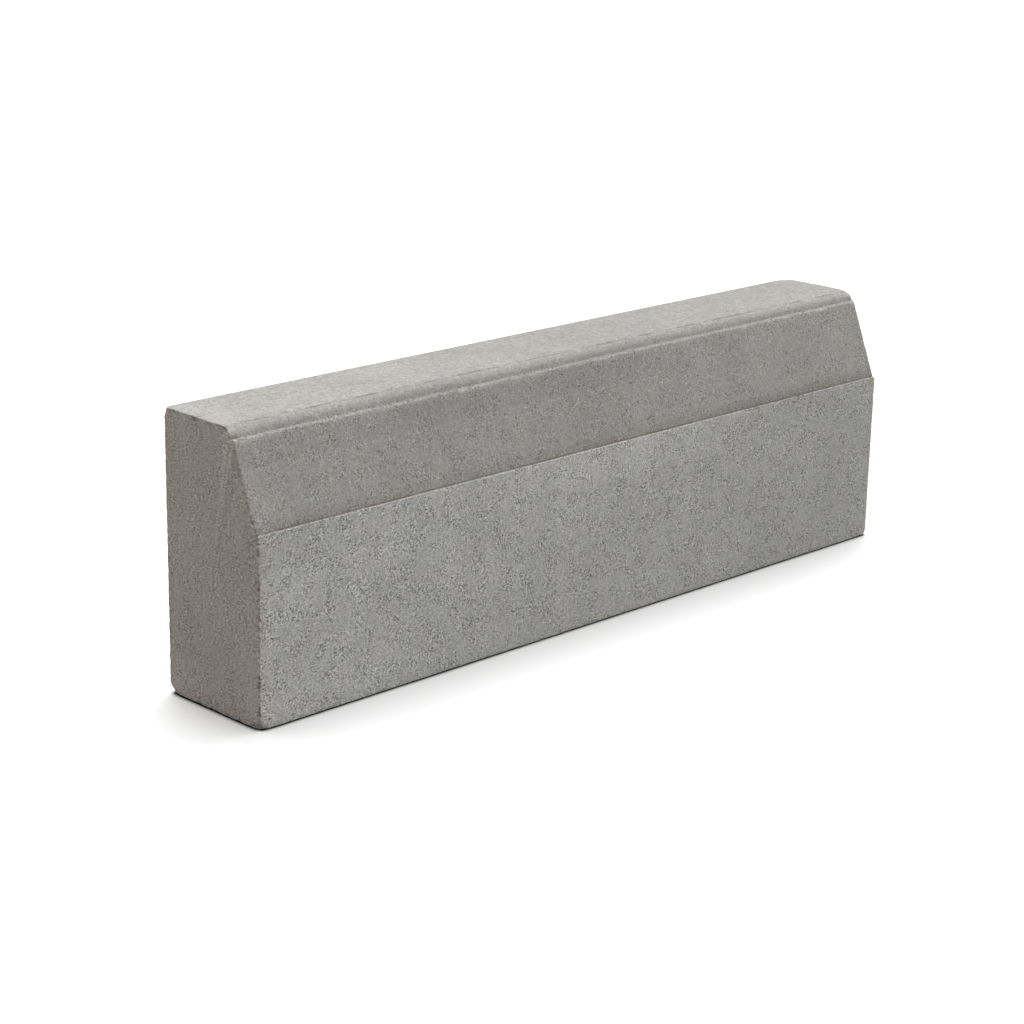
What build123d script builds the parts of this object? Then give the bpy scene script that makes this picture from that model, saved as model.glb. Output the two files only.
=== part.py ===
"""Concrete kerb stone with a battered road face, pressed in one piece.

The stone is one solid: its section is drawn once, its long edges are rounded in the section,
and it is extruded along its length and eased at both ends.
X runs along the kerb, Y from the road face to the back, Z up from the bed. Millimetres.
"""

import os
from math import cos, radians, tan

from build123d import *

# Overall sizes
LENGTH = 800.0
HEIGHT = 250.0
BASE_WIDTH = 120.0

# Road face, from the bed up
LOWER_FACE_HEIGHT = 167.0  # upright face, as far as the mould wall reaches
LEDGE_DEPTH = 2.8  # set-back where the mould wall ends and the pressing shoe begins
LEDGE_RISE = 1.2  # the ledge slopes up towards the battered face by this much
BATTER_ANGLE = 22.0  # lean of the battered face from the upright, in degrees
NOSE_STEP = 1.9  # the nose lies this far behind the battered face, square to it
NOSE_STEP_RISE = 1.2  # height of the sloped step between the two
NOSE_DEPTH = 9.0  # from the top down to the foot of the nose
NOSE_RADIUS = 11.0  # rounded front edge of the top

# Radii of the long edges, and the easing of the end edges, which is the smallest of them
SHOULDER_RADIUS = 3.0  # upper edge of the battered face, under the nose
INNER_CORNER_RADIUS = 1.5  # at the foot of the nose, and where the ledge meets the battered face
LEDGE_EDGE_RADIUS = 1.0
BACK_EDGE_RADIUS = 1.5
BED_EDGE_RADIUS = 1.5
END_EDGE_RADIUS = 0.8


def section():
    """The section as a face in the YZ plane, with its long edges rounded."""
    front, back = -BASE_WIDTH / 2, BASE_WIDTH / 2
    lean = radians(BATTER_ANGLE)

    ledge_foot = Vector(front, LOWER_FACE_HEIGHT)
    ledge_head = ledge_foot + Vector(LEDGE_DEPTH, LEDGE_RISE)

    def batter_y(z):
        """Where the plane of the battered face lies at height z."""
        return ledge_head.X + (z - ledge_head.Y) * tan(lean)

    def nose_y(z):
        """Where the plane of the nose lies at height z; it is parallel to the battered face and behind it."""
        return batter_y(z) + NOSE_STEP / cos(lean)

    foot_z = HEIGHT - NOSE_DEPTH
    shoulder_z = foot_z - NOSE_STEP_RISE
    shoulder = Vector(batter_y(shoulder_z), shoulder_z)
    nose_foot = Vector(nose_y(foot_z), foot_z)
    nose_edge = Vector(nose_y(HEIGHT), HEIGHT)
    top_back, bed_back, bed_front = Vector(back, HEIGHT), Vector(back, 0), Vector(front, 0)

    rounded_edges = [
        (bed_front, BED_EDGE_RADIUS),
        (ledge_foot, LEDGE_EDGE_RADIUS),
        (ledge_head, INNER_CORNER_RADIUS),
        (shoulder, SHOULDER_RADIUS),
        (nose_foot, INNER_CORNER_RADIUS),
        (nose_edge, NOSE_RADIUS),
        (top_back, BACK_EDGE_RADIUS),
        (bed_back, BED_EDGE_RADIUS),
    ]
    with BuildSketch(Plane.YZ) as sketch:
        with BuildLine():
            Polyline(*[corner for corner, radius in rounded_edges], close=True)
        make_face()
        for corner, radius in rounded_edges:
            fillet(sketch.vertices().sort_by_distance(corner)[0], radius)
    return sketch.sketch


def kerb_stone():
    """The whole stone: the section extruded both ways from the middle, with eased end edges."""
    stone = extrude(section(), amount=LENGTH / 2, both=True)
    end_edges = stone.faces().filter_by(Axis.X).edges()
    return fillet(end_edges, END_EDGE_RADIUS)


os.makedirs("parts", exist_ok=True)
stone = kerb_stone()
stone.label = "kerb_stone"
export_step(stone, "parts/kerb_stone.step")
print(f"kerb_stone: {stone.volume / 1e9:.5f} cubic metres, valid {stone.is_valid}")
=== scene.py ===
# %% [markdown]
# # A pressed concrete kerb stone
#
# A kerb stone is one piece of dry concrete, pressed hard into a steel mould and pushed out at once.
# The CAD frame already holds its section and its size, and the skin made here keeps to both.
# What the frame lacks is wear and finish: sandy arrises that crumbled as the stone left the mould,
# knocked corners, a broken line along the nose, pores, and two mixes of concrete with their own colour.
# The lesson makes the skin as one closed surface, wears it, colours it and sets it on a white studio floor.

# %% Load the frame
from math import cos, pi, radians, sin, tan

import bpy
import numpy as np
from mathutils import Matrix, Vector


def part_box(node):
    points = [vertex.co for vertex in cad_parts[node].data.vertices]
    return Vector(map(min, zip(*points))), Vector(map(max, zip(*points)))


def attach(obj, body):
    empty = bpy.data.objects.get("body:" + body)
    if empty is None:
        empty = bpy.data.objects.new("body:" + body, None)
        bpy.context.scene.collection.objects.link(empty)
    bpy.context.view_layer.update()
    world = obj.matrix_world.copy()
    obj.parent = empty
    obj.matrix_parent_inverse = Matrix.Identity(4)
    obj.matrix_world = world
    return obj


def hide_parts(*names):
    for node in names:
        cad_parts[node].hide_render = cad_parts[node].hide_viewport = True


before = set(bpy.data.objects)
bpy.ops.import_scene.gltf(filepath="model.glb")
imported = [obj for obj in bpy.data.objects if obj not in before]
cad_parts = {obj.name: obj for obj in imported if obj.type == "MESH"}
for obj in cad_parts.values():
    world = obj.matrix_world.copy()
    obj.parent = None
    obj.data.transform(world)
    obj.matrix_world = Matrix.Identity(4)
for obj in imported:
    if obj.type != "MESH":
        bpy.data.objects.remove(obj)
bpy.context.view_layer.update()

MM = 0.001
low, high = (np.array(corner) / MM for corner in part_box("kerb_stone"))
LENGTH, WIDTH, HEIGHT = high - low
FRONT, BACK = low[1], high[1]
END = LENGTH / 2
print(f"stone in the frame: {LENGTH:.0f} x {WIDTH:.0f} x {HEIGHT:.0f} mm")

# %% [markdown]
# ## The section
#
# The stone has one section from end to end, so its outline is drawn once.
# Going clockwise from the bed's front edge it climbs the upright lower face to the ledge where the mould wall
# ended, follows the battered face to the shoulder, steps back to the rounded nose, crosses the top and comes
# down the back. It could be traced with a curve object, but then the spacing of the points would be Blender's
# choice. Here every corner is a point with a radius, and each stretch says how many steps it gets,
# so the points crowd where the stone is worn and stay few on the plain bed.

# %% Corners of the section
LOWER_FACE_HEIGHT = 167.0
LEDGE_DEPTH = 2.8
LEDGE_RISE = 1.2
BATTER_ANGLE = 22.0
NOSE_STEP = 1.9
NOSE_STEP_RISE = 1.2
NOSE_DEPTH = 9.0
NOSE_RADIUS = 11.0


def section_corners():
    """The section's corners as (place, radius, steps round the corner, steps along the run after it).

    The battered face leans back from the head of the ledge. The nose lies on a second plane, parallel to
    the battered face and NOSE_STEP behind it. Its foot is NOSE_DEPTH below the top, and the shoulder is
    NOSE_STEP_RISE lower.
    """
    lean = radians(BATTER_ANGLE)
    ledge_foot = np.array([FRONT, LOWER_FACE_HEIGHT])
    ledge_head = ledge_foot + (LEDGE_DEPTH, LEDGE_RISE)

    def on_batter(z, behind=0.0):
        """The point at height z on the battered face, or on a plane so far behind it."""
        return ledge_head[0] + (z - ledge_head[1]) * tan(lean) + behind / cos(lean), z

    nose_foot_z = HEIGHT - NOSE_DEPTH
    return {
        "bed_front": ((FRONT, 0.0), 0.8, 2, 50),
        "ledge_foot": (ledge_foot, 0.6, 2, 2),
        "ledge_head": (ledge_head, 0.8, 2, 28),
        "shoulder": (on_batter(nose_foot_z - NOSE_STEP_RISE), 3.0, 3, 1),
        "nose_foot": (on_batter(nose_foot_z, NOSE_STEP), 1.0, 2, 1),
        "nose": (on_batter(HEIGHT, NOSE_STEP), NOSE_RADIUS, 10, 22),
        "top_back": ((BACK, HEIGHT), 0.8, 2, 20),
        "bed_back": ((BACK, 0.0), 0.8, 2, 8),
    }


corners = section_corners()
for name, (spot, radius, _, _) in corners.items():
    print(f"{name}: y {spot[0]:.1f}, z {spot[1]:.1f}, radius {radius:.1f} mm")

# %% Stations round the section
SPLIT = 4  # every step of the outline is split in four for the worn rings at the ends
CROWDING = 0.25  # 0 spaces a run evenly; more draws its points towards both ends


def rounded_outline(corners):
    """Places, outward normals and zone names of the stations, clockwise round the section.

    On a corner the heading turns evenly from the run before to the run after, and the point keeps one radius
    from the arc's centre. On a run the point moves by t less a little of sin(2 pi t), so the steps are
    shortest at both ends. The outward normal is the heading turned a quarter to the left.
    """
    place = np.array([corner[0] for corner in corners.values()], float)
    radius = np.array([corner[1] for corner in corners.values()])
    onward = np.roll(place, -1, 0) - place
    length = np.linalg.norm(onward, axis=1)
    ahead = onward / length[:, None]
    heading = np.arctan2(ahead[:, 1], ahead[:, 0])
    turn = (heading - np.roll(heading, 1) + pi) % (2 * pi) - pi
    reach = radius * np.tan(np.abs(turn) / 2)
    points, normals, zones = [], [], []
    for k, (name, (_, _, arc_steps, run_steps)) in enumerate(corners.items()):
        angle = heading[k - 1] + turn[k] * np.arange(arc_steps * SPLIT) / (arc_steps * SPLIT)
        left = np.stack([-np.sin(angle), np.cos(angle)], -1)
        inner = np.sign(turn[k]) * radius[k]
        centre = place[k] - reach[k] * ahead[k - 1] + inner * left[0]
        t = np.arange(run_steps * SPLIT) / (run_steps * SPLIT)
        along = t - CROWDING * np.sin(2 * pi * t) / (2 * pi)
        clear = length[k] - reach[k] - reach[(k + 1) % len(corners)]
        run = place[k] + ahead[k] * (reach[k] + along * clear)[:, None]
        points += [centre - inner * left, run]
        normals += [left, np.broadcast_to([-ahead[k, 1], ahead[k, 0]], run.shape)]
        zones += [name + " arc"] * len(angle) + [name + " run"] * len(t)
    return np.concatenate(points), np.concatenate(normals), np.array(zones)


station_point, station_normal, station_zone = rounded_outline(corners)
STATIONS = len(station_point)
print(f"{STATIONS} stations in {len(np.unique(station_zone))} zones")

# %% Distance round the section
half_bed = corners["bed_back"][3] * SPLIT // 2  # the count starts in the middle of the bed
station_point = np.roll(station_point, half_bed, 0)
station_normal = np.roll(station_normal, half_bed, 0)
station_zone = np.roll(station_zone, half_bed)
step_length = np.linalg.norm(np.roll(station_point, -1, 0) - station_point, axis=1)
station_girth = np.concatenate([[0], np.cumsum(step_length)])  # the last value is the whole way round


def girth_at(zone):
    """Distance round the section at the middle of a zone."""
    return station_girth[:-1][station_zone == zone].mean()


print(f"{station_girth[-1]:.0f} mm round, with the nose at {girth_at('nose arc'):.0f} mm")

# %% [markdown]
# ## One closed skin
#
# The skin is a function of two parameters: the station round the section, and the ring along a path.
# The path starts in the middle of one end face, runs out to its edge, turns over the arris, follows the stone
# to the other end and closes in the middle of the other face. A boolean or a bevel would give the same box,
# but a plain grid of rings lets wear be worked out for all points at once.
# Rings at the arrises use every station, their neighbours every second and the others every fourth one,
# so the crumbling arrises get small faces and the long faces don't waste any.

# %% Rings of one end
ARRIS_RADIUS = 0.4
ARRIS_TURNS = 3
STEPS_IN = np.array([0.5, 1.1, 1.8, 2.6, 3.6, 4.9, 6.5])  # rings by their distance from the arris
STEPS_IN_FINE = 4  # so many of them use every station, and the rest every second one
CAP_RINGS = 24
CAP_CLEARANCE = 0.3  # the gap before the fine rings is wider than the others by this share
CENTRE_HEIGHT = 0.48  # the middle of an end face, as a share of the stone's height
HALF_WIDTH = WIDTH / 2 - ARRIS_RADIUS
section_centre = np.array([0.0, HEIGHT * CENTRE_HEIGHT])


def end_rings():
    """Rings of one end, from the pole outwards, as columns: depth, inset, scale, turn and station step.

    On the end face a ring is the outline, inset by the arris radius and scaled about the centre. On the
    arris the turn goes from 0 to a quarter, with depth = r (1 - cos) and inset = r (1 - sin). Beyond it only
    depth grows.
    """
    fine_scale = 1 - STEPS_IN[::-1] / HALF_WIDTH
    coarse_scale = fine_scale[0] * np.arange(CAP_RINGS) / (CAP_RINGS + CAP_CLEARANCE)
    scale = np.concatenate([coarse_scale, fine_scale])
    flank_step = np.where(np.arange(len(STEPS_IN)) < STEPS_IN_FINE, 1, SPLIT // 2)
    step = np.concatenate([[STATIONS], np.full(CAP_RINGS - 1, SPLIT), flank_step[::-1]])
    turn = np.linspace(0, pi / 2, ARRIS_TURNS + 1)
    face = [(0.0, ARRIS_RADIUS, k, 0.0, s) for k, s in zip(scale, step)]
    arris = [(ARRIS_RADIUS * (1 - cos(a)), ARRIS_RADIUS * (1 - sin(a)), 1.0, a, 1) for a in turn]
    flank = [(ARRIS_RADIUS + d, 0.0, 1.0, pi / 2, s) for d, s in zip(STEPS_IN, flank_step)]
    return np.array(face + arris + flank)


one_end = end_rings()
print(f"{len(one_end)} rings at each end")

# %% Rings from the middle of one end to the middle of the other
RING_SPACING = 2.2
first_coarse = -END + one_end[-1, 0] + RING_SPACING
middle_x = np.linspace(first_coarse, -first_coarse, round(-2 * first_coarse / RING_SPACING))
middle = np.array([(END + x, 0.0, 1.0, pi / 2, SPLIT) for x in middle_x])
depth, inset, scale, turn, step = np.concatenate([one_end, middle, one_end[::-1]]).T
side = np.where(np.arange(len(depth)) < len(one_end) + len(middle), -1.0, 1.0)
ring_x = side * (END - depth)
ring_step = step.astype(int)
RINGS = len(ring_x)
print(f"{RINGS} rings, {len(middle)} of them along the stone")

# %% Places and normals of every point
ring_count = STATIONS // ring_step
ring_start = np.concatenate([[0], np.cumsum(ring_count)])
ring_of = np.repeat(np.arange(RINGS), ring_count)
station_of = (np.arange(len(ring_of)) - ring_start[ring_of]) * ring_step[ring_of]


def skin_points():
    """Place and outward normal of every point before wear, in mm.

    The place is centre + scale (outline - inset normal - centre) at the ring's x. The normal is the
    section's, turned towards the end face by the ring's turn.
    """
    outline = station_point[station_of] - inset[ring_of, None] * station_normal[station_of]
    across = section_centre + scale[ring_of, None] * (outline - section_centre)
    place = np.column_stack([ring_x[ring_of], across])
    endways = (side * np.cos(turn))[ring_of]
    sideways = np.sin(turn)[ring_of, None] * station_normal[station_of]
    return place, np.column_stack([endways, sideways])


place, outward = skin_points()
print(f"{len(place)} points")

# %% Faces between rings with the same stations
ring_gap = np.arange(RINGS - 1)
same_step = ring_step[:-1] == ring_step[1:]


def weave(step):
    """Four-sided faces between rings that both have this step, as (ring, station) corners."""
    r = ring_gap[same_step & (ring_step[:-1] == step)][:, None]
    j = np.arange(0, STATIONS, step)[None, :]
    corners = np.broadcast_arrays(r, j, r + 1, j, r + 1, j + step, r, j + step)
    return np.stack(corners, -1).reshape(-1, 4, 2)


quads = np.concatenate([weave(step) for step in (1, SPLIT // 2, SPLIT)])
print(f"{len(quads)} four-sided faces")

# %% Faces where the number of stations changes
def triangles(*corners):
    """Three-sided faces from three (ring, station) corners, each with a row of stations."""
    rows = [np.stack(np.broadcast_arrays(ring, station), -1) for ring, station in corners]
    return np.stack(rows, 1)


def seam(r):
    """Three-sided faces between ring r and the next, where one of them has fewer stations than the other.

    Round a pole they are a fan. Elsewhere each wide step meets two narrow ones in three triangles.
    """
    here, beyond = ring_step[r], ring_step[r + 1]
    wide = min(max(here, beyond), SPLIT)
    half = wide // 2
    j = np.arange(0, STATIONS, wide)
    if here == STATIONS:
        return triangles((r, j), (r + 1, j), (r + 1, j + wide))
    if beyond == STATIONS:
        return triangles((r, j), (r + 1, j), (r, j + wide))
    if here > beyond:
        first = triangles((r, j), (r + 1, j), (r + 1, j + half))
        second = triangles((r, j), (r + 1, j + half), (r, j + wide))
        third = triangles((r, j + wide), (r + 1, j + half), (r + 1, j + wide))
    else:
        first = triangles((r, j), (r + 1, j), (r, j + half))
        second = triangles((r, j + half), (r + 1, j), (r + 1, j + wide))
        third = triangles((r, j + half), (r + 1, j + wide), (r, j + wide))
    return np.concatenate([first, second, third])


fans = np.concatenate([seam(r) for r in ring_gap[~same_step]])
print(f"{len(fans)} three-sided faces, {2 * len(quads) + len(fans)} triangles in all")

# %% [markdown]
# ## Knocks and the press
#
# Freshly pressed concrete is barely held together. Its corners get knocked in the stack, the lowest grains
# stay behind on the pallet, and the shoe that pressed this stone sat a little deeper at one end.
# A lattice or a sculpting brush could bend the skin so, but neither says how far.
# Here each fault is a small move in millimetres, worked out from a point's own place.

# %% Knocked corners
KNOCKED = {  # the corner, the radius it is rounded to, and how far the rounding reaches up or down
    "near bed front": ((-END, FRONT, 0.0), 16.0, 12.0),
    "near bed back": ((-END, BACK, 0.0), 12.0, 10.0),
    "far bed front": ((END, FRONT, 0.0), 4.0, 7.0),
    "far bed back": ((END, BACK, 0.0), 8.0, 10.0),
    "near top back": ((-END, BACK, HEIGHT), 6.0, 8.0),
    "far top back": ((END, BACK, HEIGHT), 20.0, 24.0),
}


def knock_corner(points, corner, radius, fade):
    """Rounds a corner in plan, most at its tip and not at all `fade` mm along the upright arris.

    Inside the square of side `radius` at the corner, a point's offset from the square's inner corner is
    shortened by (longer part) / (length), which lays the square's outer sides on a quarter circle.
    """
    inward = np.abs(points - corner)
    reach = radius * np.clip(1 - inward[:, 2] / fade, 0, 1)
    gap = reach[:, None] - inward[:, :2]
    inside = (gap > 0).all(1)
    length = np.linalg.norm(gap[inside], axis=1)
    drawn_in = gap[inside] * (1 - gap[inside].max(1) / length)[:, None]
    worn = points.copy()
    worn[inside, :2] -= np.sign(corner[:2]) * drawn_in
    return worn


for name, (corner, radius, fade) in KNOCKED.items():
    place = knock_corner(place, np.array(corner), radius, fade)
    print(f"{name}: rounded to {radius:.0f} mm")

# %% Tilt of the pressing shoe
SHOE_TILT = 1.1


def tilt_shoe(points):
    """Lowers what the shoe formed, by SHOE_TILT at the near end and by nothing at the far end.

    Along the stone the share is the square of (distance from the far end / length). Up the section it grows
    evenly from 0 at the bed to 1 at the ledge, stays 1 to the foot of the nose and is 0 at the top.
    """
    turning_heights = [0.0, LOWER_FACE_HEIGHT, HEIGHT - NOSE_DEPTH, HEIGHT]
    share = np.interp(points[:, 2], turning_heights, [0.0, 1.0, 1.0, 0.0])
    lowered = points.copy()
    lowered[:, 2] -= SHOE_TILT * share * (0.5 - points[:, 0] / LENGTH) ** 2
    return lowered


place = tilt_shoe(place)
print(f"shoe: {SHOE_TILT} mm deeper at the near end")

# %% Rim of the bed
RIM_WIDTH = 4.0
RIM_HEIGHT = 6.0
END_RIM_FRONT, END_RIM_BACK = 1.0, 1.8
SIDE_RIM_NEAR, SIDE_RIM_FAR = 1.0, 0.7


def raise_rim(points):
    """Raises the edges of the bed where the lowest grains fell out.

    The rise is largest at the edge, and falls evenly to nothing RIM_WIDTH in from it and RIM_HEIGHT above
    the bed.
    """
    from_end = END - np.abs(points[:, 0])
    from_side = WIDTH / 2 - np.abs(points[:, 1])
    end_rim = np.interp(points[:, 1], [FRONT, BACK], [END_RIM_FRONT, END_RIM_BACK])
    side_rim = np.interp(points[:, 0], [-END, END], [SIDE_RIM_NEAR, SIDE_RIM_FAR])
    at_end = end_rim * np.clip(1 - from_end / RIM_WIDTH, 0, 1)
    at_side = side_rim * np.clip(1 - from_side / RIM_WIDTH, 0, 1)
    raised = points.copy()
    raised[:, 2] += np.maximum(at_end, at_side) * np.clip(1 - points[:, 2] / RIM_HEIGHT, 0, 1)
    return raised


place = raise_rim(place)
print(f"rim of the bed: up to {END_RIM_BACK} mm off the floor")

# %% [markdown]
# ## Worn edges and lost grains
#
# As the mould slides off, the arrises lose grains of sand, and the nose and the shoulder crumble most.
# A bevel with a displacement modifier would roughen every edge alike.
# Here each kind of wear is a depth that dies away with the distance from its own line,
# so every line of the stone gets its own width, and the skin never leaves the CAD box.

# %% Distances that the wear is measured from
FACING_CORNERS = ("ledge_head", "shoulder", "nose_foot", "nose")
girth = station_girth[station_of]
clearance = ((station_point - section_centre) * station_normal).sum(1)
to_end_arris = END - np.abs(place[:, 0]) + (1 - scale[ring_of]) * clearance[station_of]
on_end = np.cos(turn)[ring_of]
on_bed = np.clip(-outward[:, 2], 0, 1)
is_faced = [zone.split()[0] in FACING_CORNERS or zone == "top_back arc" for zone in station_zone]
facing = np.array(is_faced)[station_of] * (1 - on_end)
at_near_end = place[:, 0] < 0


def near(distance, width):
    """1 on a line, falling off with distance from it as exp(-(distance / width)^2)."""
    return np.exp(-np.square(distance / width))


print(f"facing mix: {facing.mean():.0%} of the points, end faces: {on_end.mean():.0%}")

# %% Crumbled ends of the nose
NOSE_END_REACH = 8.0
NOSE_END = {"depth": 1.1, "shift": 4.0, "width": 6.0}
TOP_END = {"depth": 0.6, "shift": 24.0, "width": 16.0}


def crumbled_end(depth, shift, width):
    """Wear at both ends of a line `shift` mm past the middle of the nose.

    It is depth * exp(-(distance from the line / width)^2) * exp(-distance from the arris / NOSE_END_REACH).
    """
    return depth * near(girth - girth_at("nose arc") - shift, width) * np.exp(-to_end_arris / NOSE_END_REACH)


nose_end_wear = crumbled_end(**NOSE_END) + crumbled_end(**TOP_END) * at_near_end
place[:, 1:] -= station_normal[station_of] * nose_end_wear[:, None]
print(f"ends of the nose: worn down by up to {nose_end_wear.max():.1f} mm")

# %% Worn front edge of the near end
END_WEAR_REACH = 8.0
END_WEAR = (  # a zone of the section, mm past its middle, and the depth of wear there
    ("ledge_foot arc", -125.0, 0.0),
    ("ledge_foot arc", -75.0, 0.7),
    ("ledge_head arc", 25.0, 0.8),
    ("shoulder arc", -25.0, 0.9),
    ("shoulder arc", -8.0, 2.4),
    ("shoulder arc", 0.0, 2.7),
    ("nose_foot arc", 0.0, 1.0),
    ("nose arc", -4.0, 1.2),
    ("nose arc", 0.0, 2.5),
    ("nose arc", 5.0, 1.6),
    ("nose arc", 14.0, 0.0),
)


def end_wear():
    """How far the near end is worn back along the stone.

    It is END_WEAR at the arris and dies away by exp(-distance / END_WEAR_REACH). The distance is that from
    the end, plus that from the nearest of the lower face, the battered face and the top.
    """
    where = [girth_at(zone) + shift for zone, shift, _ in END_WEAR]
    depth = np.interp(girth, where, [depth for _, _, depth in END_WEAR])
    x, y, z = place.T
    lean = radians(BATTER_ANGLE)
    head_y, head_z = corners["ledge_head"][0]
    from_batter = (y - head_y) * cos(lean) - (z - head_z) * sin(lean)
    from_faces = np.minimum.reduce([y - FRONT, np.clip(from_batter, 0, None), HEIGHT - z])
    return depth * np.exp(-(END - np.abs(x) + from_faces) / END_WEAR_REACH) * at_near_end


worn_back = end_wear()
place[:, 0] += worn_back
print(f"near end: worn back by up to {worn_back.max():.1f} mm")

# %% Chips
CHIPS = {  # centre, depth and width
    "arris under the ledge": ((-END, FRONT, 128.5), 2.2, 2.0),
    "ledge": ((247.5, FRONT, LOWER_FACE_HEIGHT), 1.8, 2.5),
}


def chip(centre, depth, width):
    """A dish that is deepest at its centre: depth times exp(-(distance / width)^2)."""
    return depth * near(np.linalg.norm(place - centre, axis=1), width)


chips = sum(chip(*size) for size in CHIPS.values())
print(f"{len(CHIPS)} chips, up to {chips.max():.1f} mm deep")

# %% Clouds of noise
BLOCK = 48


def cloud(points, size, seed):
    """Smooth noise from 0 to 1 at points in mm.

    A block of random numbers is laid out `size` mm apart and repeated for ever. Between its eight nearest
    numbers the value is mixed by the smooth step 3 t^2 - 2 t^3 of the place inside the cell.
    """
    block = np.random.default_rng(seed).random((BLOCK, BLOCK, BLOCK))
    whole = np.floor(points / size).astype(int)
    part = points / size - whole
    part = part * part * (3 - 2 * part)
    total = np.zeros(len(points))
    for corner in np.ndindex(2, 2, 2):
        share = np.where(corner, part, 1 - part).prod(-1)
        x, y, z = ((whole + corner) % BLOCK).T
        total += share * block[x, y, z]
    return total


print(f"noise: {BLOCK} cells before it repeats")

# %% Sand and slow waves
WAVE_DEPTH, WAVE_SIZE = 0.1, 130.0
FACING_SAND, CORE_SAND, SAND_SIZE = 0.06, 0.14, 6.5
waves = WAVE_DEPTH * cloud(place, WAVE_SIZE, 1) * (1 - on_bed)
sand = np.where(facing > 0.5, FACING_SAND, CORE_SAND) * cloud(place, SAND_SIZE, 2)
print(f"waves up to {waves.max():.2f} mm, sand up to {sand.max():.2f} mm deep")

# %% Notched end arrises
NOTCH_DEPTH = 0.9
NOTCH_SIZE = 1.7
NOTCH_SQUEEZE = (0.3, 0.3, 1.0)  # makes the notches longer in plan than they are high
NOTCH_START, NOTCH_RISE = 0.5, 0.12  # the noise where a notch starts, and how much more makes it whole
NOTCH_REACH_ON_END, NOTCH_REACH_ON_SIDE = 2.4, 1.3
SHALLOW_FROM, SHALLOW_TO = 50.0, 115.0  # heights on the near front arris with shallower notches
FRONT_SHARE, SHALLOW_SHARE, NEAR_SHARE, FAR_SHARE = 1.0, 0.6, 0.6, 0.4
ARRIS_WEAR, ARRIS_WEAR_SIZE, ARRIS_WEAR_REACH = 0.12, 11.0, 1.5
lower_front = np.isin(station_zone, ["bed_front arc", "bed_front run", "ledge_foot arc"])[station_of]
near_front = lower_front & at_near_end
shallow = near_front & (place[:, 2] > SHALLOW_FROM) & (place[:, 2] < SHALLOW_TO)
bitten = np.clip((cloud(place * NOTCH_SQUEEZE, NOTCH_SIZE, 3) - NOTCH_START) / NOTCH_RISE, 0, 1)
arris_shares = [SHALLOW_SHARE, FRONT_SHARE, NEAR_SHARE]
bite_share = np.select([shallow, near_front, at_near_end], arris_shares, FAR_SHARE)
notch_reach = np.where(on_end > 0.5, NOTCH_REACH_ON_END, NOTCH_REACH_ON_SIDE)
notches = bite_share * bitten * near(to_end_arris, notch_reach)
arris_wear = ARRIS_WEAR * cloud(place, ARRIS_WEAR_SIZE, 4) * near(to_end_arris, ARRIS_WEAR_REACH)
print(f"notches up to {NOTCH_DEPTH * notches.max():.2f} mm deep")

# %% Crumbled lines along the stone
DRAWN_OUT = 0.3  # squeezes the noise along the stone, so the crumbs grow long
NOSE_LINE_SHIFT = 3.6
CRUMBLED = {
    "ledge_foot arc": dict(width=1.6, depth=0.7, size=6.0, share=0.4, seed=5),
    "nose arc": dict(width=8.0, depth=0.6, size=5.0, share=0.45, seed=6),
    "shoulder arc": dict(width=3.0, depth=0.7, size=4.0, share=0.6, seed=8, squeeze=DRAWN_OUT),
    "bed_front arc": dict(width=2.0, depth=0.3, size=6.0, share=0.5, seed=7),
}
NOSE_GROOVE = dict(width=1.2, depth=0.9, size=3.0, share=0.55, seed=9, squeeze=DRAWN_OUT)


def crumbled_line(zone, width, depth, size, share, seed, squeeze=1.0, shift=0.0):
    """Depth of crumbs on a line along the stone, `shift` mm past the middle of a zone.

    Where noise passes 1 - share, grains broke away, by depth times (noise - 1 + share) / share. That is
    multiplied by exp(-(distance from the line / width)^2), and there is none on the end faces.
    """
    noise = cloud(place * (squeeze, 1.0, 1.0), size, seed)
    lost = np.clip((noise - (1 - share)) / share, 0, 1)
    return depth * lost * near(girth - girth_at(zone) - shift, width) * (1 - on_end)


broken = sum(crumbled_line(zone, **line) for zone, line in CRUMBLED.items()) + chips
nose_groove = crumbled_line("nose arc", **NOSE_GROOVE, shift=NOSE_LINE_SHIFT)
print(f"crumbled lines up to {broken.max():.2f} mm deep, groove of the nose {nose_groove.max():.2f} mm")

# %% Take the wear off
wear = waves + sand + arris_wear + NOTCH_DEPTH * notches + nose_groove + broken
place = np.clip(place - outward * wear[:, None], low, high)
print(f"wear: {wear.mean():.2f} mm on average, {wear.max():.2f} mm at most")

# %% Put the skin into a mesh
def point_number(corner):
    """The point at a (ring, station) corner; the last station is the first one again."""
    ring, station = corner[..., 0], corner[..., 1] % STATIONS
    return ring_start[ring] + station // ring_step[ring]


mesh = bpy.data.meshes.new("kerb_stone_skin")
faces = point_number(quads).tolist() + point_number(fans).tolist()
mesh.from_pydata((place * MM).tolist(), [], faces)
mesh.shade_smooth()
stone = bpy.data.objects.new("kerb_stone_skin", mesh)
bpy.context.scene.collection.objects.link(stone)
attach(stone, "root")
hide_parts("kerb_stone")
print("mesh needs no mending:", not mesh.validate(), len(mesh.polygons), "faces")

# %% Keep what the finish needs on the points
ON_POINTS = {
    "facing": facing,
    "on_end": on_end,
    "broken": np.clip(broken, 0, 1),
    "notched": notches,
    "from_arris": to_end_arris,
    "round_section": girth,
}
for name, values in ON_POINTS.items():
    kept = mesh.attributes.new(name, "FLOAT", "POINT")
    kept.data.foreach_set("value", np.asarray(values, np.float32))
    print(f"{name}: {values.min():.1f} to {values.max():.1f}")

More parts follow.
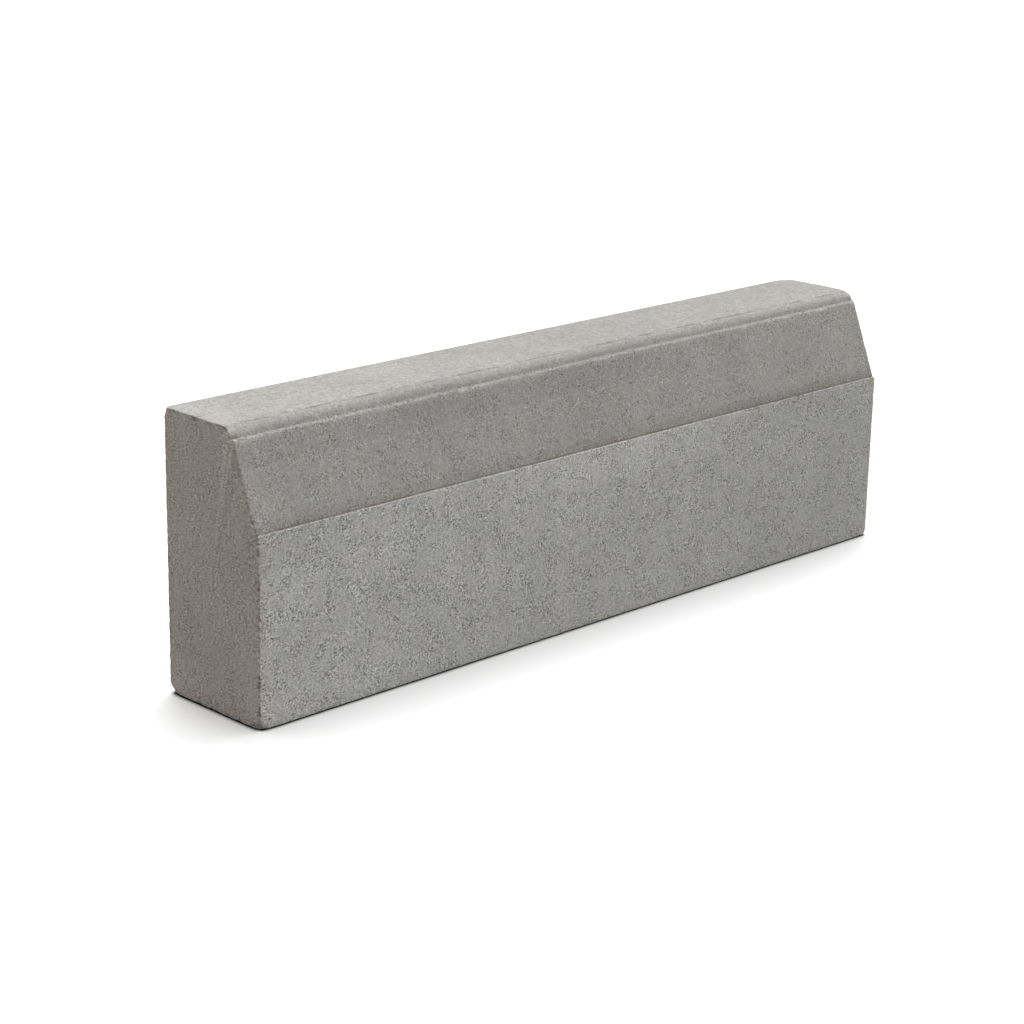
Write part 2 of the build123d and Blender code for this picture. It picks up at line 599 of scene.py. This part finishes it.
# %% [markdown]
# ## A map of the skin
#
# A texture map lets the finish be painted to an image for other programs. Blender can unwrap a mesh by
# itself, but on a rough skin it would cut the stone into thousands of scraps. The skin is a grid already, so
# the long faces are rolled out flat as one sheet, length by girth, and the two end faces lie beside it.

# %% Lay the skin out flat
MAP_GAP = 6.0
sleeve_along = np.concatenate([[0], np.cumsum(np.hypot(np.diff(ring_x), np.diff(inset)))])
sleeve_along -= sleeve_along[np.argmax(scale == 1)]
girth_total = station_girth[-1]
map_side = max(np.ptp(sleeve_along[scale == 1]), girth_total + MAP_GAP + WIDTH) + 2 * MAP_GAP


def flat_place(corner):
    """Place on the map of (ring, station) corners, as shares of its side.

    The sleeve lies length by girth, and an end face lies z by y.
    """
    ring, station = corner[..., 0], corner[..., 1]
    on_cap = (turn[ring] == 0).all(1)[:, None]
    sleeve = np.stack([sleeve_along[ring], station_girth[station]], -1)
    outline = station_point[station % STATIONS] - inset[ring, None] * station_normal[station % STATIONS]
    cap = section_centre + scale[ring, None] * (outline - section_centre)
    shift = np.where(ring_x[ring] > 0, HEIGHT + MAP_GAP, 0)
    cap = np.stack([cap[..., 1] + shift, cap[..., 0] + girth_total + MAP_GAP - FRONT], -1)
    return (np.where(on_cap[..., None], cap, sleeve) + MAP_GAP) / map_side


uv = np.concatenate([flat_place(quads).reshape(-1, 2), flat_place(fans).reshape(-1, 2)])
mesh.uv_layers.new(name="OFBake").data.foreach_set("uv", uv.ravel())
print(f"map: {map_side:.0f} mm square, filled from {uv.min(0).round(3)} to {uv.max(0).round(3)}")

# %% [markdown]
# ## Concrete
#
# Two mixes are pressed together: a fine facing mix under the shoe, on the battered face, nose and top,
# and a coarser core mix everywhere else. Both are cement paste full of sand, so close up they are speckled,
# with dark pores where the paste didn't close and pale grains where it wore off. Painted shade, with some
# dirt, sits in the inner corners, grooves and notches. The paste is paler and darker in places, partly at
# random and partly as painted light and shade.
# A photograph could be wrapped round the stone, but it would show one side of one stone, light and all.
# Here speckle, pores and clouding are built from noise in the stone's own metres. Each stain, painted shade
# and painted highlight is a band that is measured from the stone's own lines.

# %% Node helpers
concrete = bpy.data.materials.new("pressed_concrete")
concrete.use_nodes = True
tree = concrete.node_tree
shader = tree.nodes["Principled BSDF"]


def add(kind, settings=None, inputs=None):
    """Adds a node with its own settings; inputs are numbers or links, by socket name or number."""
    node = tree.nodes.new(kind)
    for name, value in (settings or {}).items():
        setattr(node, name, value)
    for name, value in (inputs or {}).items():
        if isinstance(value, bpy.types.NodeSocket):
            tree.links.new(value, node.inputs[name])
        else:
            node.inputs[name].default_value = value
    return node


def sums(operation, first, second=0.0):
    """One step of arithmetic on numbers that vary over the skin."""
    return add("ShaderNodeMath", {"operation": operation}, {0: first, 1: second}).outputs[0]


def spread(value, low, high, to_low=0.0, to_high=1.0):
    """Carries value from low..high to to_low..to_high by a smooth step."""
    limits = {"Value": value, "From Min": low, "From Max": high, "To Min": to_low, "To Max": to_high}
    return add("ShaderNodeMapRange", {"interpolation_type": "SMOOTHSTEP"}, limits).outputs["Result"]


def changed(amount, by):
    """1 where the amount is 0, and 1 + by where it is 1."""
    return sums("ADD", sums("MULTIPLY", amount, by), 1.0)


def product(*factors):
    """All the factors multiplied together."""
    total = factors[0]
    for factor in factors[1:]:
        total = sums("MULTIPLY", total, factor)
    return total


def strongest(*pairs):
    """The largest of several amounts, each times its own strength."""
    total = 0.0
    for amount, strength in pairs:
        total = sums("MAXIMUM", total, sums("MULTIPLY", amount, strength))
    return total


print("nodes before the finish is built:", [node.name for node in tree.nodes])

# %% Where a point is on the stone
def attribute(name):
    """A number that was kept on the points."""
    return add("ShaderNodeAttribute", {"attribute_name": name}).outputs["Fac"]


skin_place = add("ShaderNodeTexCoord").outputs["Object"]
stone_x, stone_y, stone_z = add("ShaderNodeSeparateXYZ", None, {0: skin_place}).outputs
is_facing = attribute("facing")
is_end = attribute("on_end")
is_broken = attribute("broken")
is_notched = attribute("notched")
from_arris = attribute("from_arris")
round_section = attribute("round_section")
off_end = changed(is_end, -1.0)
off_facing = changed(is_facing, -1.0)
print(f"{len(ON_POINTS)} kept numbers and the place in {len(tree.nodes)} nodes")

# %% Parts of the stone
def line_at(zone, shift, width):
    """1 on a line along the stone, `shift` mm past the middle of a zone, and 0 from `width` mm off it."""
    off = sums("ABSOLUTE", sums("SUBTRACT", round_section, float(girth_at(zone) + shift)))
    return spread(off, 0.0, width, 1.0, 0.0)


def band(zone, start, end, soft):
    """1 from `start` to `end` mm past the middle of a zone, fading out over `soft` mm on both sides."""
    middle = float(girth_at(zone))
    rise = spread(round_section, middle + start - soft, middle + start)
    return sums("MULTIPLY", rise, spread(round_section, middle + end, middle + end + soft, 1.0, 0.0))


def patch_at(middle, plain, fade):
    """1 up to `plain` metres along the stone on both sides of a middle, and 0 from `fade` metres off it."""
    off = sums("ABSOLUTE", sums("SUBTRACT", stone_x, middle))
    return spread(off, plain, fade, 1.0, 0.0)


def fading(value, plain, none):
    """1 up to one value, falling to 0 at a larger one."""
    return spread(value, plain, none, 1.0, 0.0)


nose_start = float(girth_at("nose_foot arc"))
nose_end = float(station_girth[:-1][station_zone == "nose run"].min())
is_smooth = product(is_facing, spread(round_section, nose_start, nose_start + 2.0))
is_batter = product(is_facing, changed(is_smooth, -1.0))
is_top = product(is_facing, spread(round_section, nose_end - 5.0, nose_end))
is_near = fading(stone_x, -0.2, -0.1)
print(f"smooth facing from {nose_start:.0f} mm round the section, top from {nose_end:.0f} mm")

# %% Speckle, pits and clouding
def noise(per_metre, detail=0.0, where=None):
    """Smooth noise about 0.5, with so many cells to a metre."""
    inputs = {"Vector": where or skin_place, "Scale": per_metre, "Detail": detail}
    return add("ShaderNodeTexNoise", None, inputs).outputs[0]


def stretched(scale, detail=0.0):
    """Noise with its own number of cells to a metre along x, y and z."""
    where = add("ShaderNodeMapping", None, {"Vector": skin_place, "Scale": scale}).outputs[0]
    return noise(1.0, detail, where)


busy = spread(noise(70.0, 1.0), 0.36, 0.64)
sand_speckle = stretched((600.0, 380.0, 720.0), 0.5)
fine_speckle = noise(1000.0)
coarse_speckle = noise(230.0, 1.0)
clouding = noise(16.0, 3.0)
drag_streaks = stretched((75.0, 75.0, 7.0), 2.0)
drag_lines = stretched((330.0, 330.0, 14.0))
pale_grains = spread(noise(450.0, 0.5), 0.62, 0.72)
end_closed = product(is_end, spread(stone_z, 0.0, 0.2, 0.2, 1.0))
pits = product(
    spread(stretched((470.0, 470.0, 560.0), 1.0), 0.57, 0.68),
    spread(busy, 0.0, 1.0, 0.3, 1.0),
    spread(is_facing, 0.0, 1.0, 1.0, 0.6),
    spread(is_smooth, 0.0, 1.0, 1.0, 0.25),
    changed(end_closed, -0.5),
)
print(f"speckle and pits: {len(tree.nodes)} nodes so far")

# %% Lines of painted shade and dirt
patchy = spread(stretched((55.0, 55.0, 55.0), 2.0), 0.3, 0.6, 0.5, 1.0)
# painted shade with some dirt: a patchy dark line in the inner corner at the head of the ledge
inner_corner = product(line_at("ledge_head arc", 0.1, 1.7), patchy)
dashes = spread(stretched((70.0, 300.0, 300.0), 1.0), 0.45, 0.58)
# painted shade: dark dashes in the groove along the nose
nose_dashes = product(line_at("nose arc", NOSE_LINE_SHIFT, 2.0), dashes)
# painted shade in the inner corner at the foot of the nose, near the near end
nose_foot_painted_shade = product(line_at("nose_foot arc", 0.5, 2.5), fading(from_arris, 3.0, 16.0), is_near)
# painted shadow: the lowest two millimetres of the stone darker, where it meets the floor
painted_foot_shadow = fading(stone_z, 0.0006, 0.002)
long_lines = strongest((inner_corner, 0.95), (nose_dashes, 0.6), (nose_foot_painted_shade, 0.7))
# mostly painted shade with some dirt: the lines above, painted shade in the notches of the end arrises, and
# the painted shadow at the foot
dirt_and_painted_shade = strongest((product(long_lines, off_end), 1.0), (is_notched, 0.85), (painted_foot_shadow, 0.4))
print(f"lines of dirt: {len(tree.nodes)} nodes so far")

# %% Pale and dark bands
above_ledge = product(is_facing, band("ledge_head arc", 0.0, 1.0, 12.0))
# painted shade: the battered face darker towards the inner corner above the ledge, less so at the near end
ledge_painted_shade = product(above_ledge, spread(stone_x, -0.3, 0.1, 0.45, 1.0))
ledge_gaps = spread(stretched((130.0, 300.0, 300.0), 1.0), 0.42, 0.6)
# painted highlight: a broken pale line on the ledge, which faces up; painted shade on its lower edge keeps
# that line thin
ledge_painted_highlight = product(line_at("ledge_foot arc", 1.8, 1.0), spread(ledge_gaps, 0.0, 1.0, 1.0, 0.2))
ledge_lip_painted_shade = line_at("ledge_foot arc", 0.4, 1.6)
below_ledge = product(band("ledge_foot arc", -20.0, -1.0, 18.0), off_end)
ledge_wash = product(below_ledge, patch_at(0.045, 0.06, 0.2))
ledge_shade = product(below_ledge, fading(stone_x, -0.36, -0.24))
shoulder_shade = product(band("shoulder arc", -21.0, -6.0, 5.0), fading(stone_x, 0.0, 0.2))
# painted highlight: a pale line on the step of the shoulder, which faces up
shoulder_painted_highlight = line_at("shoulder arc", 0.4, 3.9)
shoulder_bare = product(line_at("shoulder arc", -0.8, 5.5), is_near, fading(from_arris, 8.0, 60.0))
nose_pale = line_at("nose arc", -2.0, 7.0)
near_batter = product(is_facing, is_near, fading(from_arris, 5.0, 40.0))
far_batter = product(is_batter, spread(stone_x, 0.05, 0.35))
batter_wash = product(is_batter, patch_at(0.11, 0.03, 0.09))
far_facing = product(is_facing, spread(stone_x, 0.0, 0.4))
# painted shade: the top darker towards the far end, as the light falls off along the stone
far_top_painted_shade = product(is_top, spread(stone_x, -0.3, 0.1))
top_grain = product(is_top, sums("SUBTRACT", coarse_speckle, 0.5))
# painted light: paler near the bed at the near end, against the contact shade there
near_foot_painted_light = product(fading(stone_x, -0.36, -0.24), fading(stone_z, 0.005, 0.06))
# painted shade: the core mix darker towards the far end, as the light falls off along the stone
far_core_painted_shade = product(off_facing, spread(stone_x, 0.1, 0.35))
# painted shade: the end faces darker above the bed, so that they look evenly lit from top to bottom
end_top_painted_shade = product(is_end, spread(stone_z, 0.0, 0.2))
print(f"bands: {len(tree.nodes)} nodes so far")

# %% [markdown]
# ## Colour and tone
#
# The core mix is a pale grey and the facing mix a darker one. The end faces get a darker, warmer grey, full
# on the near end and weaker on the far end: painted shade of the near end, which faces away from the lamps.
# One flat colour with noise over it would do for a stone far off, but close up the paste changes along every
# line. So the greys are mixed by the part of the stone, and then one tone, a product of small factors, makes
# each part paler or darker. Some of these factors are painted light and painted shade. The dirt and painted
# shade go over it last.

# %% Colours of the mixes
CORE_GREY = (0.416, 0.413, 0.401)
FACING_GREY = (0.279, 0.275, 0.260)
# painted shade: the darker, warmer grey of the shaded near end
END_SHADE_GREY = (0.395, 0.36, 0.326)
BROKEN_GREY = (0.44, 0.41, 0.375)
COOL_TINT = (0.992, 1.0, 1.011)
WARM_TINT = (1.008, 1.0, 0.989)
STRIP_TINT = (1.045, 0.985, 0.935)
PINK_TINT = (1.018, 0.995, 1.0)
PLAIN = (1.0, 1.0, 1.0)


def mixed(factor, first, second):
    """Mixes two colours, of which either may be a link."""
    colours = [c if isinstance(c, bpy.types.NodeSocket) else (*c, 1) for c in (first, second)]
    return add("ShaderNodeMix", {"data_type": "RGBA"}, {0: factor, 6: colours[0], 7: colours[1]}).outputs[2]


def tinted(colour, tint):
    """One colour multiplied by another."""
    return add("ShaderNodeVectorMath", {"operation": "MULTIPLY"}, {0: colour, 1: tint}).outputs[0]


arris_strip = product(fading(from_arris, 2.0, 8.0), off_end, changed(is_facing, -0.6))
back_strip = product(is_end, spread(stone_y, 0.049, 0.054, 0.0, 0.4))
warm = strongest((arris_strip, 1.0), (back_strip, 1.0), (product(above_ledge, patchy, patchy), 0.55))
skin_colour = mixed(is_facing, CORE_GREY, FACING_GREY)
# the end grey is full on the near end and 0.4 of it on the far end, as painted shade of the near end
skin_colour = mixed(product(is_end, spread(stone_x, -0.3, 0.3, 1.0, 0.4)), skin_colour, END_SHADE_GREY)
skin_colour = mixed(sums("MULTIPLY", is_broken, 0.5), skin_colour, BROKEN_GREY)
skin_colour = tinted(skin_colour, mixed(spread(noise(55.0, 1.0), 0.38, 0.62), COOL_TINT, WARM_TINT))
skin_colour = tinted(skin_colour, mixed(warm, PLAIN, STRIP_TINT))
skin_colour = tinted(skin_colour, mixed(far_batter, PLAIN, PINK_TINT))
print("core", CORE_GREY, "facing", FACING_GREY, "end", END_SHADE_GREY)

# %% Tone of the concrete
TONE_NOISE = (  # a noise about 0.5, and how far it swings the tone
    (clouding, 0.3),
    (drag_streaks, 0.14),
    (drag_lines, 0.08),
    (fine_speckle, 0.3),
    (coarse_speckle, 0.3),
)
TONE_CHANGES = (  # a part of the stone, and how much paler it is or, below zero, darker
    # painted shade towards the top of the end faces
    (end_top_painted_shade, -0.13),
    (far_facing, 0.07),
    # painted shade on the top towards the far end
    (far_top_painted_shade, -0.06),
    (pits, -0.55),
    (pale_grains, 0.1),
    (nose_pale, 0.17),
    # painted highlight on the shoulder
    (shoulder_painted_highlight, 0.1),
    (shoulder_bare, 0.1),
    (shoulder_shade, -0.06),
    # painted shade above the ledge
    (ledge_painted_shade, -0.22),
    (ledge_wash, 0.11),
    # painted highlight on the ledge
    (ledge_painted_highlight, 0.08),
    # painted shade on the lower edge of the ledge
    (ledge_lip_painted_shade, -0.3),
    (ledge_shade, -0.08),
    (near_batter, 0.06),
    (far_batter, 0.05),
    # painted shade on the core mix towards the far end
    (far_core_painted_shade, -0.045),
    (batter_wash, 0.08),
    # painted light near the bed at the near end
    (near_foot_painted_light, 0.05),
    (top_grain, 0.3),
)


def about_one(value, strength):
    """Turns noise about 0.5 into a factor about 1."""
    return sums("ADD", sums("MULTIPLY", value, strength), 1 - strength / 2)


speckle_strength = product(
    spread(is_facing, 0.0, 1.0, 1.65, 1.1),
    spread(stone_x, -0.4, 0.4, 1.0, 0.85),
    spread(busy, 0.0, 1.0, 0.6, 1.2),
    changed(is_end, -0.14),
    changed(is_smooth, -0.42),
)
speckle = sums("MULTIPLY", sums("SUBTRACT", sand_speckle, 0.5), speckle_strength)
# the first factor is painted light falling off along the stone, from the near end to the far end; the second
# is painted light within 50 mm of the bed, where the floor gives back less light
tone = product(
    spread(stone_x, -0.4, 0.4, 1.04, 0.95),
    spread(stone_z, 0.0, 0.05, 1.09, 1.0),
    sums("ADD", speckle, 1.0),
    *(about_one(value, swing) for value, swing in TONE_NOISE),
    *(changed(part, by) for part, by in TONE_CHANGES),
)
print(f"tone: {len(TONE_NOISE)} noises and {len(TONE_CHANGES)} changes")

# %% Dirt and painted shade over the colour
# the dark brown of dirt and of painted shade
DIRT_AND_SHADE_BROWN = (0.13, 0.115, 0.095)
painted = add("ShaderNodeVectorMath", {"operation": "SCALE"}, {0: skin_colour, "Scale": tone}).outputs[0]
painted = mixed(dirt_and_painted_shade, painted, DIRT_AND_SHADE_BROWN)
tree.links.new(painted, shader.inputs["Base Color"])
print(f"colour: {len(tree.nodes)} nodes so far")

# %% [markdown]
# ## Relief
#
# Grains of sand stand out by about a third of a millimetre and pores sink by half of one. Most faces of the
# mesh are two millimetres long, so it can't show them, and finer faces would take millions of triangles.
# A bump node bends the light instead, from the same speckle and pits that colour the stone.

# %% Roughness and relief
GRAIN_HEIGHT, FINE_HEIGHT, PIT_DEPTH = 0.35, 0.15, 0.5
relief = sums("MULTIPLY", sand_speckle, GRAIN_HEIGHT)
relief = sums("ADD", relief, sums("MULTIPLY", fine_speckle, FINE_HEIGHT))
relief = sums("SUBTRACT", relief, sums("MULTIPLY", pits, PIT_DEPTH))
bump = add("ShaderNodeBump", None, {"Height": relief, "Distance": MM, "Strength": 1.0})
tree.links.new(bump.outputs[0], shader.inputs["Normal"])
tree.links.new(spread(sand_speckle, 0.3, 0.7, 0.97, 0.85), shader.inputs["Roughness"])
shader.inputs["Specular IOR Level"].default_value = 0.3
mesh.materials.append(concrete)
print(f"concrete: {len(tree.nodes)} nodes, grains {GRAIN_HEIGHT} mm high, pits {PIT_DEPTH} mm deep")

# %% [markdown]
# ## Floor and light
#
# The stone stands on a white studio floor under three large soft lamps: one above and a little behind it,
# one above and towards its far end, and a weak one in front. So the top is brightest, the near end is
# darkest, and the only shadow is the soft one at the stone's foot. A single hard sun would throw one long
# shadow, which a studio never shows. The floor looks over-exposed, but gives back only a share of that light.

# %% Floor
FLOOR_SIZE = 60.0
half = FLOOR_SIZE / 2
floor_corners = [(-half, -half, 0), (half, -half, 0), (half, half, 0), (-half, half, 0)]
floor_mesh = bpy.data.meshes.new("floor")
floor_mesh.from_pydata(floor_corners, [], [(0, 1, 2, 3)])
floor = bpy.data.objects.new("floor", floor_mesh)
bpy.context.scene.collection.objects.link(floor)
print(f"floor: {FLOOR_SIZE:.0f} m square")

# %% White of the floor
FLOOR_BOUNCE = 0.45  # the share of the light that it gives back to the stone
FLOOR_SEEN = 0.95  # the camera sees the floor this bright, as an over-exposed studio floor
CONTACT_REACH = 0.006
CREVICE_SAMPLES = 4
CREVICE_DARK, CREVICE_OPEN = 0.57, 0.78  # the open share of the view, where shade is full and where it ends
floor_paint = bpy.data.materials.new("white_floor")
floor_paint.use_nodes = True
floor_tree = floor_paint.node_tree


def seen_by_camera(nodes_of):
    """1 for what the camera sees directly, in a mirror or through glass, and 0 for light on other ways."""
    path = nodes_of.nodes.new("ShaderNodeLightPath")
    seen = path.outputs["Is Camera Ray"]
    for way in ("Is Glossy Ray", "Is Transmission Ray"):
        either = nodes_of.nodes.new("ShaderNodeMath")
        either.operation = "MAXIMUM"
        nodes_of.links.new(seen, either.inputs[0])
        nodes_of.links.new(path.outputs[way], either.inputs[1])
        seen = either.outputs[0]
    return seen


def contact_shade():
    """FLOOR_SEEN on the open floor, falling to 0 in the crack under the stone, within CONTACT_REACH of it."""
    crevice = floor_tree.nodes.new("ShaderNodeAmbientOcclusion")
    crevice.samples = CREVICE_SAMPLES
    crevice.inputs["Distance"].default_value = CONTACT_REACH
    shade = floor_tree.nodes.new("ShaderNodeMapRange")
    shade.inputs["From Min"].default_value = CREVICE_DARK
    shade.inputs["From Max"].default_value = CREVICE_OPEN
    shade.inputs["To Max"].default_value = FLOOR_SEEN
    floor_tree.links.new(crevice.outputs["AO"], shade.inputs["Value"])
    return shade.outputs[0]


floor_tree.nodes.remove(floor_tree.nodes["Principled BSDF"])
lighting_floor = floor_tree.nodes.new("ShaderNodeBsdfDiffuse")
lighting_floor.inputs["Color"].default_value = (FLOOR_BOUNCE, FLOOR_BOUNCE, FLOOR_BOUNCE, 1)
seen_floor = floor_tree.nodes.new("ShaderNodeBsdfDiffuse")
floor_tree.links.new(contact_shade(), seen_floor.inputs["Color"])
either_floor = floor_tree.nodes.new("ShaderNodeMixShader")
floor_tree.links.new(seen_by_camera(floor_tree), either_floor.inputs[0])
floor_tree.links.new(lighting_floor.outputs[0], either_floor.inputs[1])
floor_tree.links.new(seen_floor.outputs[0], either_floor.inputs[2])
floor_tree.links.new(either_floor.outputs[0], floor_tree.nodes["Material Output"].inputs["Surface"])
floor_mesh.materials.append(floor_paint)
print(f"floor paint: {len(floor_tree.nodes)} nodes")

# %% Sky
SKY_STRENGTH = 0.02  # the light it gives; the camera sees it plain white
world = bpy.data.worlds.new("studio")
bpy.context.scene.world = world
world.use_nodes = True
backdrop = world.node_tree.nodes["Background"]
backdrop.inputs["Color"].default_value = (1, 1, 1, 1)
sky_level = world.node_tree.nodes.new("ShaderNodeMapRange")
sky_level.inputs["To Min"].default_value = SKY_STRENGTH
world.node_tree.links.new(seen_by_camera(world.node_tree), sky_level.inputs["Value"])
world.node_tree.links.new(sky_level.outputs[0], backdrop.inputs["Strength"])
print(f"sky: strength {SKY_STRENGTH}")

# %% Lamps
LAMPS = {  # the direction towards the lamp, how many degrees of the sky it fills, and its strength
    "overhead": ((0.2, 0.5, 1.0), 120.0, 2.9),
    "side": ((0.5, 0.3, 1.0), 60.0, 2.27),
    "front": ((0.2, -1.0, 0.5), 60.0, 1.1),
}
for name, (towards, angle, strength) in LAMPS.items():
    lamp_data = bpy.data.lights.new(name, "SUN")
    lamp_data.energy = strength
    lamp_data.angle = radians(angle)
    lamp = bpy.data.objects.new(name, lamp_data)
    lamp.rotation_euler = Vector(towards).to_track_quat("Z", "Y").to_euler()
    bpy.context.scene.collection.objects.link(lamp)
    print(f"{name} lamp: strength {strength}, {angle:.0f} degrees wide")

# %% [markdown]
# ## Camera
#
# The camera stands off the near end of the road face, a little above the stone, with a long lens.
# It could be aimed by eye with a tracking constraint, but the stone's outline would then land only roughly.
# Its place, turn and lens come from fitting the stone's own corners and lines to the view.

# %% Camera
CAMERA_PLACE = np.array([-1.58222, -1.52718, 0.77029])
CAMERA_AZIMUTH = radians(-44.991)
CAMERA_ELEVATION = radians(17.159)
CAMERA_ROLL = radians(1.1066)
LENS_PER_WIDTH = 2.42172  # focal length over the width of the image
SENSOR = 36.0


def camera_frame():
    """The camera's own right, up and backward directions, from its azimuth, elevation and roll."""
    a, e, r = CAMERA_AZIMUTH, CAMERA_ELEVATION, CAMERA_ROLL
    backward = np.array([sin(a) * cos(e), -cos(a) * cos(e), sin(e)])
    level_right = np.cross([0, 0, 1], backward)
    level_right /= np.linalg.norm(level_right)
    level_up = np.cross(backward, level_right)
    right = level_right * cos(r) + level_up * sin(r)
    up = level_up * cos(r) - level_right * sin(r)
    return right, up, backward


camera_data = bpy.data.cameras.new("camera")
camera_data.sensor_width = SENSOR
camera_data.lens = LENS_PER_WIDTH * SENSOR
camera = bpy.data.objects.new("camera", camera_data)
turned = np.eye(4)
turned[:3] = np.column_stack([*camera_frame(), CAMERA_PLACE])
camera.matrix_world = Matrix(turned.tolist())
bpy.context.scene.collection.objects.link(camera)
bpy.context.scene.camera = camera
bpy.context.scene.view_settings.view_transform = "Standard"
print(f"camera: {camera_data.lens:.0f} mm lens, {np.linalg.norm(CAMERA_PLACE):.2f} m from the bed's middle")
